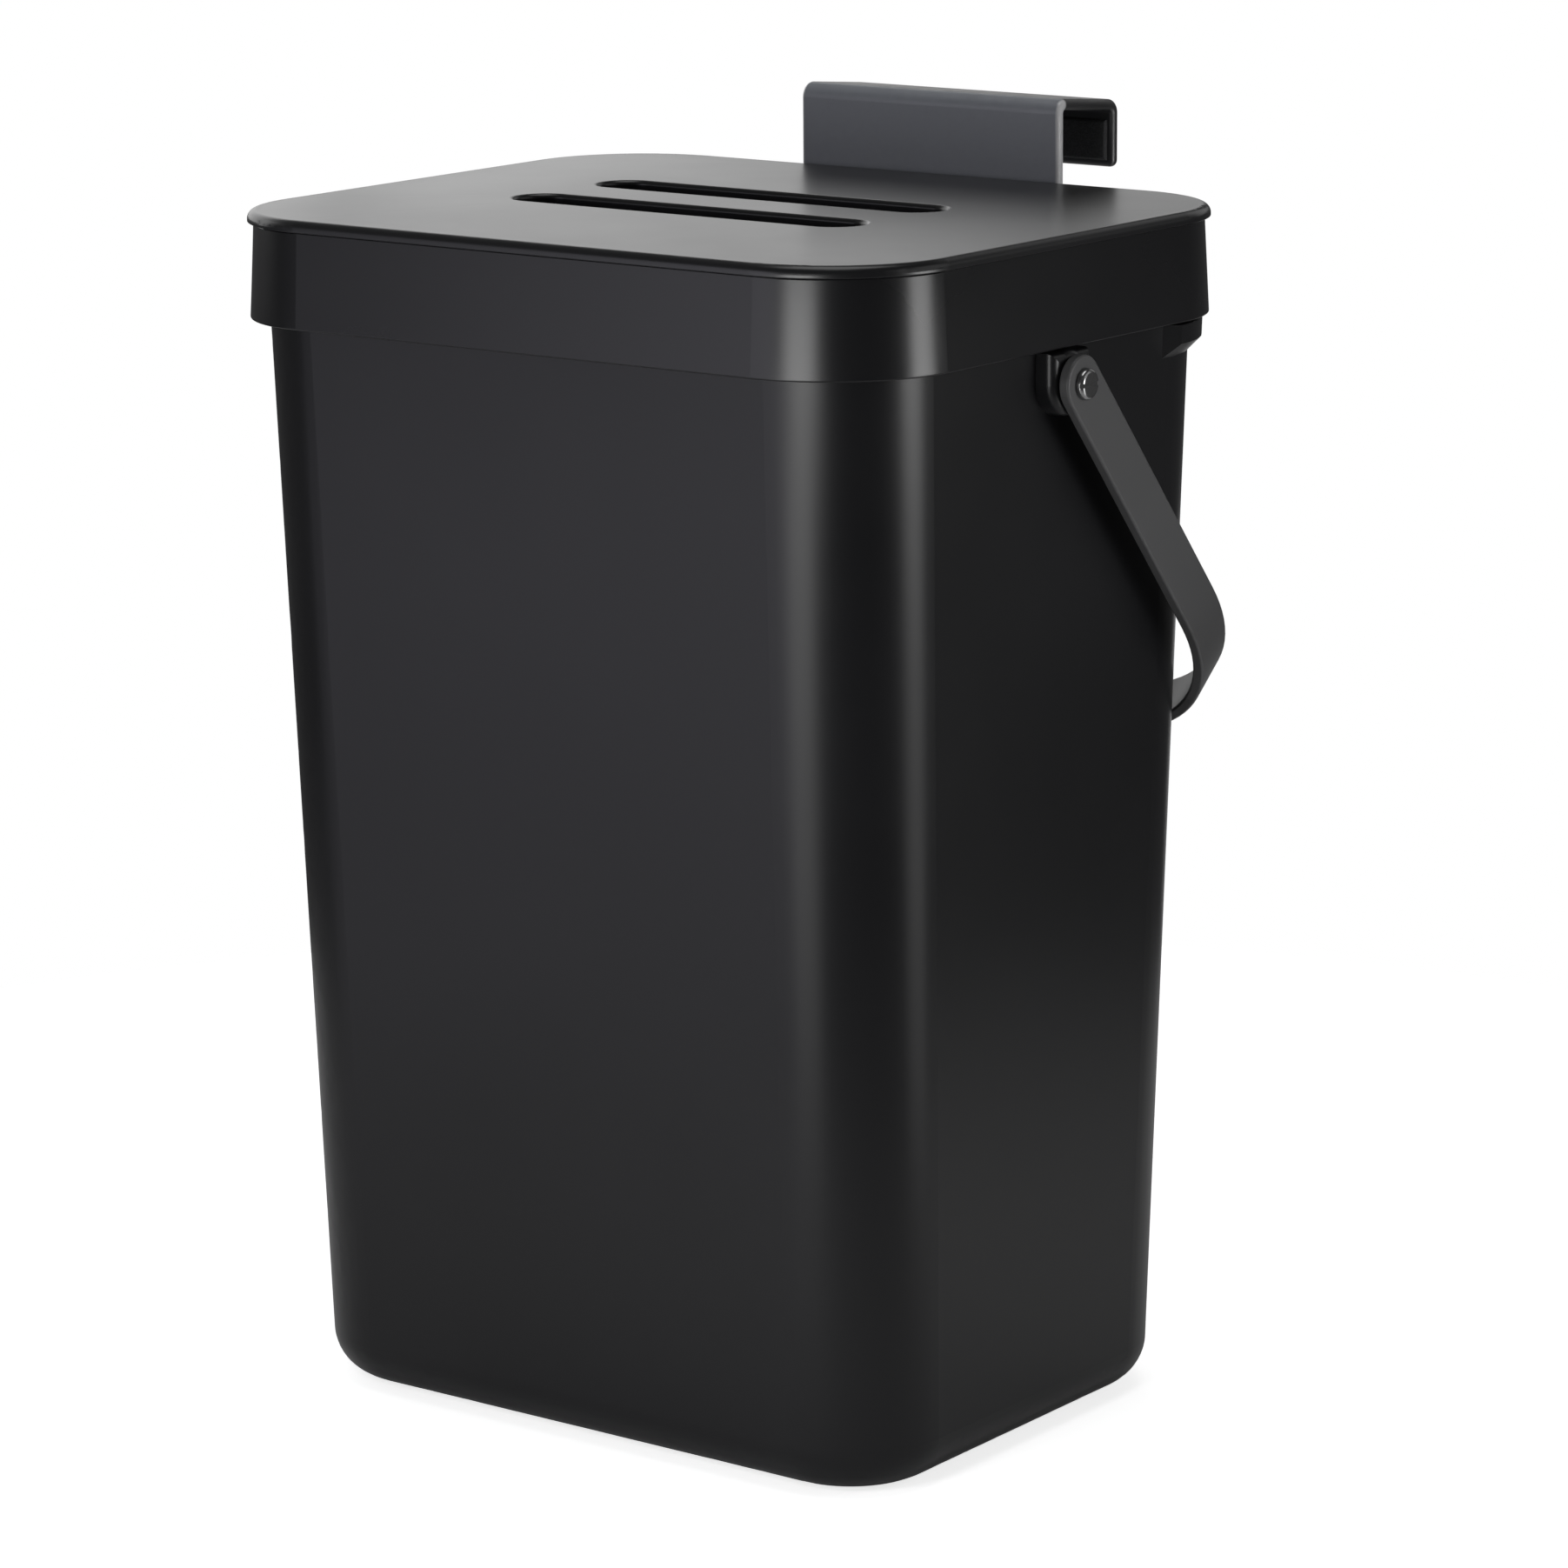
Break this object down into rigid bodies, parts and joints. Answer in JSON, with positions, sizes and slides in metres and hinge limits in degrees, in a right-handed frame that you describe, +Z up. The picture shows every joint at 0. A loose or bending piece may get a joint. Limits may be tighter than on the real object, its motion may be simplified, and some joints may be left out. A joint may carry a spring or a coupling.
{
  "type": "hanging waste bin",
  "caption": "Tapered black plastic waste bin with a lift-off lid with finger slots, a bag ring, a swinging strap handle and a hook that hangs it over a cabinet door.",
  "frame": {"origin": "middle of the foot that the bin stands on", "axes": "+Z up, -Y towards the long front wall, +Y towards the door hook at the back, +X to the right seen from the front"},
  "size_m": [0.1856, 0.1696, 0.2778],
  "materials": {
    "tub_plastic": "satin black moulded polypropylene",
    "ring_plastic": "satin black moulded polypropylene",
    "lid_plastic": "satin black moulded polypropylene",
    "seal_rubber": "soft dark grey rubber",
    "strap_plastic": "satin black moulded polypropylene",
    "pin_left_plastic": "polished black moulded pin",
    "pin_right_plastic": "polished black moulded pin",
    "hook_paint": "dark grey powder coat on bent steel",
    "pad_foam": "black foam rubber"
  },
  "bodies": {
    "tub": {"bucket": "tub_plastic", "pivot_pin_left": "pin_left_plastic", "pivot_pin_right": "pin_right_plastic"},
    "ring": {"bag_ring": "ring_plastic"},
    "lid": {"lid": "lid_plastic", "lid_seal": "seal_rubber"},
    "handle": {"bail_handle": "strap_plastic"},
    "hook": {"door_hook": "hook_paint", "hook_pad": "pad_foam"}
  },
  "joints": [
    {"name": "ring_lift", "type": "slide", "parent": "tub", "child": "ring", "axis": [0, 0, 1], "range_m": [0, 0.06]},
    {"name": "lid_lift", "type": "slide", "parent": "ring", "child": "lid", "axis": [0, 0, 1], "range_m": [0, 0.15]},
    {"name": "handle_swing", "type": "hinge", "parent": "tub", "child": "handle", "pos_m": [0, 0, 0.2295], "axis": [1, 0, 0], "range_deg": [0, 279.8]},
    {"name": "hook_drop", "type": "slide", "parent": "tub", "child": "hook", "axis": [0, 0, -1], "range_m": [0, 0.03]}
  ]
}
